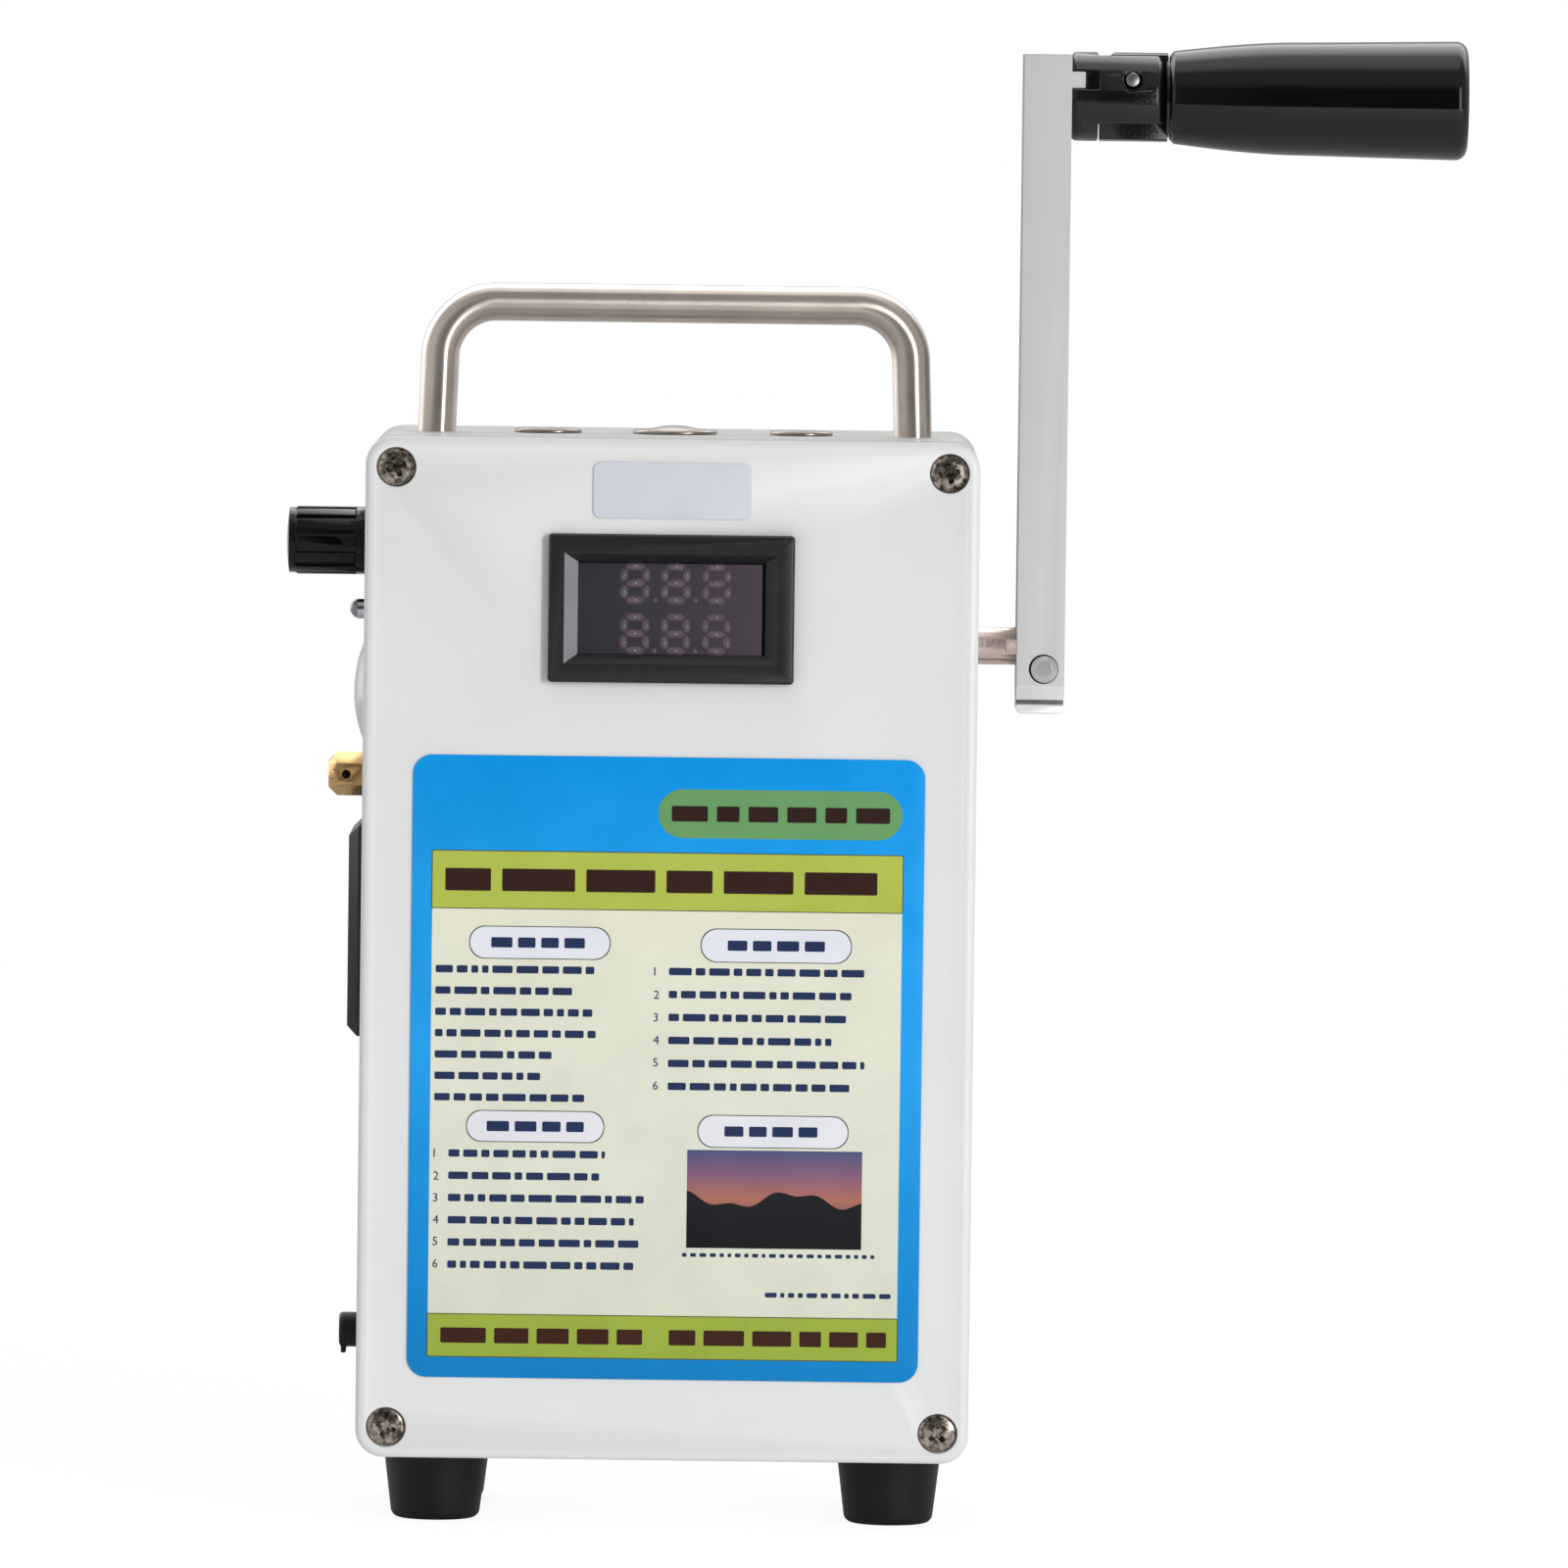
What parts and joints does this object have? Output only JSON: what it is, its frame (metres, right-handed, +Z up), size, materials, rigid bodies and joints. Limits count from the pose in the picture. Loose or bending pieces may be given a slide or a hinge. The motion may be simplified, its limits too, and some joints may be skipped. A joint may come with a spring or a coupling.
{
  "type": "hand crank generator",
  "caption": "Upright white box generator on rubber feet, with a folding hand crank at its side, a bent-rod carry bar, a panel meter and a side outlet.",
  "frame": {"origin": "centre of the whole object's footprint box, on the surface its feet stand on", "axes": "+X towards the crank, +Y towards the back, +Z up"},
  "size_m": [0.2324, 0.0776, 0.2933],
  "materials": {
    "white_abs": "moulded ABS, fine satin texture",
    "black_rubber": "moulded rubber, matte",
    "gasket_rubber": "soft extruded cord",
    "nickel_steel": "nickel-plated screws",
    "zinc_steel": "zinc-plated steel",
    "stainless": "polished stainless",
    "ground_steel": "ground steel",
    "gear_steel": "hobbed steel gears",
    "mill_aluminium": "drawn flat bar, satin",
    "black_oxide": "black oxide steel, semi-gloss",
    "bakelite": "moulded phenolic, polished",
    "black_plastic": "moulded black plastic",
    "smoked_window": "smoked acrylic",
    "display": "dark display block",
    "circuit_board": "green board",
    "printed_sheet": "printed vinyl sheet",
    "plain_label": "bare pale label",
    "white_lens": "translucent white lens",
    "white_nylon": "white nylon",
    "can_steel": "painted steel shell",
    "laminations": "steel laminations",
    "copper_winding": "enamelled copper wire",
    "cell_sleeve": "shrink sleeve",
    "tray_plastic": "black tray plastic",
    "ferrite": "ferrite with taped winding",
    "sink_aluminium": "extruded aluminium",
    "control_metal": "pressed steel case",
    "chrome_plate": "chrome-plated brass",
    "clear_led": "clear epoxy",
    "brass": "turned brass"
  },
  "bodies": {
    "housing": {"housing_base": "white_abs", "lid": "white_abs", "lid_gasket": "gasket_rubber", "lid_screws": "nickel_steel", "feet": "black_rubber", "foot_screws": "zinc_steel", "carry_handle": "stainless", "carry_handle_screws": "zinc_steel", "meter_bezel": "black_plastic", "meter_window": "smoked_window", "meter_display": "display", "meter_board": "circuit_board", "front_sheet": "printed_sheet", "name_plate": "plain_label", "idler_shaft": "zinc_steel", "gear_plate_inner": "zinc_steel", "gear_plate_outer": "zinc_steel", "plate_pillars": "zinc_steel", "plate_screws": "zinc_steel", "bearings": "ground_steel", "generator_can": "can_steel", "generator_end_cap": "can_steel", "stator_core": "laminations", "stator_coils": "copper_winding", "battery_cells": "cell_sleeve", "cell_tray": "tray_plastic", "inverter_board": "circuit_board", "transformer": "ferrite", "heat_sink": "sink_aluminium", "control_potentiometer": "control_metal", "panel_nuts": "zinc_steel", "indicator_holder": "chrome_plate", "indicator_led": "clear_led", "lamp_lens": "white_lens", "lamp_ring": "white_nylon", "lamp_board": "circuit_board", "earth_post": "brass", "earth_screw": "brass", "ac_outlet": "black_plastic", "outlet_contacts": "brass", "charge_jack": "black_plastic", "button_bodies": "stainless"},
    "crank": {"crank_shaft": "ground_steel", "crank_arm": "mill_aluminium", "arm_lock_screw": "nickel_steel", "handle_knuckle": "black_oxide", "fold_pin": "ground_steel", "crank_gear": "gear_steel"},
    "handle": {"fold_tongue": "black_oxide", "grip_spindle": "zinc_steel"},
    "hand_grip": {"grip": "bakelite"},
    "idler": {"idler_gear": "gear_steel"},
    "rotor": {"generator_rotor": "laminations", "generator_pinion": "gear_steel"},
    "knob": {"control_knob": "black_plastic", "control_spindle": "zinc_steel"},
    "plug": {"charge_plug": "black_rubber"},
    "button_left": {"button_cap_left": "stainless"},
    "button_middle": {"button_cap_middle": "stainless"},
    "button_right": {"button_cap_right": "stainless"}
  },
  "joints": [
    {"name": "crank_spin", "type": "hinge", "parent": "housing", "child": "crank", "pos_m": [0.0283, 0.00925, 0.1725], "axis": [1, 0, 0], "continuous": true},
    {"name": "idler_spin", "type": "hinge", "parent": "housing", "child": "idler", "pos_m": [-0.0022, 0.00925, 0.1425], "axis": [1, 0, 0], "continuous": true},
    {"name": "rotor_spin", "type": "hinge", "parent": "housing", "child": "rotor", "pos_m": [-0.0577, 0.00925, 0.1165], "axis": [1, 0, 0], "continuous": true},
    {"name": "handle_fold", "type": "hinge", "parent": "crank", "child": "handle", "pos_m": [0.0498, 0.00925, 0.2849], "axis": [0, -1, 0], "range_deg": [0, 90]},
    {"name": "grip_spin", "type": "hinge", "parent": "handle", "child": "hand_grip", "pos_m": [0.0572, 0.00925, 0.2815], "axis": [1, 0, 0], "continuous": true},
    {"name": "knob_turn", "type": "hinge", "parent": "housing", "child": "knob", "pos_m": [-0.0997, 0.00525, 0.192], "axis": [-1, 0, 0], "range_deg": [-150, 150]},
    {"name": "plug_pull", "type": "slide", "parent": "housing", "child": "plug", "axis": [-1, 0, 0], "range_m": [0, 0.014]},
    {"name": "press_left", "type": "slide", "parent": "housing", "child": "button_left", "axis": [0, 0, -1], "range_m": [0, 0.0015], "stiffness_N_per_m": 900, "springref_m": -0.0004},
    {"name": "press_middle", "type": "slide", "parent": "housing", "child": "button_middle", "axis": [0, 0, -1], "range_m": [0, 0.0015], "stiffness_N_per_m": 900, "springref_m": -0.0004},
    {"name": "press_right", "type": "slide", "parent": "housing", "child": "button_right", "axis": [0, 0, -1], "range_m": [0, 0.0015], "stiffness_N_per_m": 900, "springref_m": -0.0004}
  ],
  "couplings": [
    {"joint": "idler_spin", "follows": "crank_spin", "ratio": -4},
    {"joint": "rotor_spin", "follows": "crank_spin", "ratio": 13.333}
  ]
}
